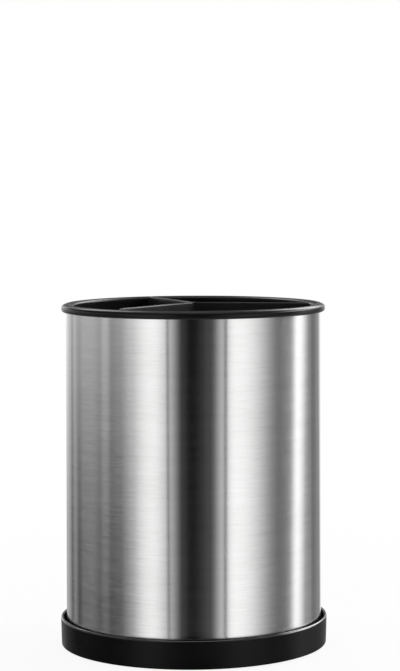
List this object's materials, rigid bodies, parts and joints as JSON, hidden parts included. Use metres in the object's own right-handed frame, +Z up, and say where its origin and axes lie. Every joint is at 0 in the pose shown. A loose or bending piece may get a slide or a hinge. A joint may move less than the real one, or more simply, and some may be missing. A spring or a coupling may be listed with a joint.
{
  "type": "rotating utensil holder",
  "caption": "Round steel utensil holder with a black rim, a liner and a lift-out divider, turning on a ball bearing in a low black tray.",
  "frame": {"origin": "centre of the foot pads' plane, on the turning axis", "axes": "+Z up along the turning axis, -Y towards the picture's camera, +X to its right"},
  "size_m": [0.1358, 0.1358, 0.1744],
  "materials": {
    "brushed_shell": "brushed round the body",
    "rim_plastic": "moulded, semi-gloss",
    "tray_plastic": "moulded, semi-gloss",
    "liner_plastic": "moulded, satin",
    "divider_plastic": "moulded, smooth edges",
    "cap_plastic": "moulded, ribbed",
    "foot_rubber": "fine matt",
    "cage_plastic": "natural nylon",
    "race_steel": "zinc plated",
    "screw_steel": "zinc plated",
    "ball_steel": "polished"
  },
  "bodies": {
    "base": {"base_tray": "tray_plastic", "foot_1": "foot_rubber", "foot_2": "foot_rubber", "foot_3": "foot_rubber", "foot_4": "foot_rubber", "lower_race": "race_steel", "lower_race_screws": "screw_steel", "pivot_washer": "race_steel", "pivot_screw": "screw_steel"},
    "ball_ring": {"ball_cage": "cage_plastic", "ball_01": "ball_steel", "ball_02": "ball_steel", "ball_03": "ball_steel", "ball_04": "ball_steel", "ball_05": "ball_steel", "ball_06": "ball_steel", "ball_07": "ball_steel", "ball_08": "ball_steel", "ball_09": "ball_steel", "ball_10": "ball_steel", "ball_11": "ball_steel", "ball_12": "ball_steel"},
    "cup": {"upper_race": "race_steel", "upper_race_screws": "screw_steel", "bottom_cap": "cap_plastic", "steel_shell": "brushed_shell", "inner_liner": "liner_plastic", "top_rim": "rim_plastic"},
    "divider": {"divider": "divider_plastic"}
  },
  "joints": [
    {"name": "cup_turn", "type": "hinge", "parent": "base", "child": "cup", "pos_m": [0, 0, 0.0089], "axis": [0, 0, 1], "continuous": true},
    {"name": "ball_ring_turn", "type": "hinge", "parent": "base", "child": "ball_ring", "pos_m": [0, 0, 0.0089], "axis": [0, 0, 1], "continuous": true},
    {"name": "divider_lift", "type": "slide", "parent": "cup", "child": "divider", "axis": [0, 0, 1], "range_m": [0, 0.165]}
  ],
  "couplings": [
    {"joint": "ball_ring_turn", "follows": "cup_turn", "ratio": 0.5}
  ]
}
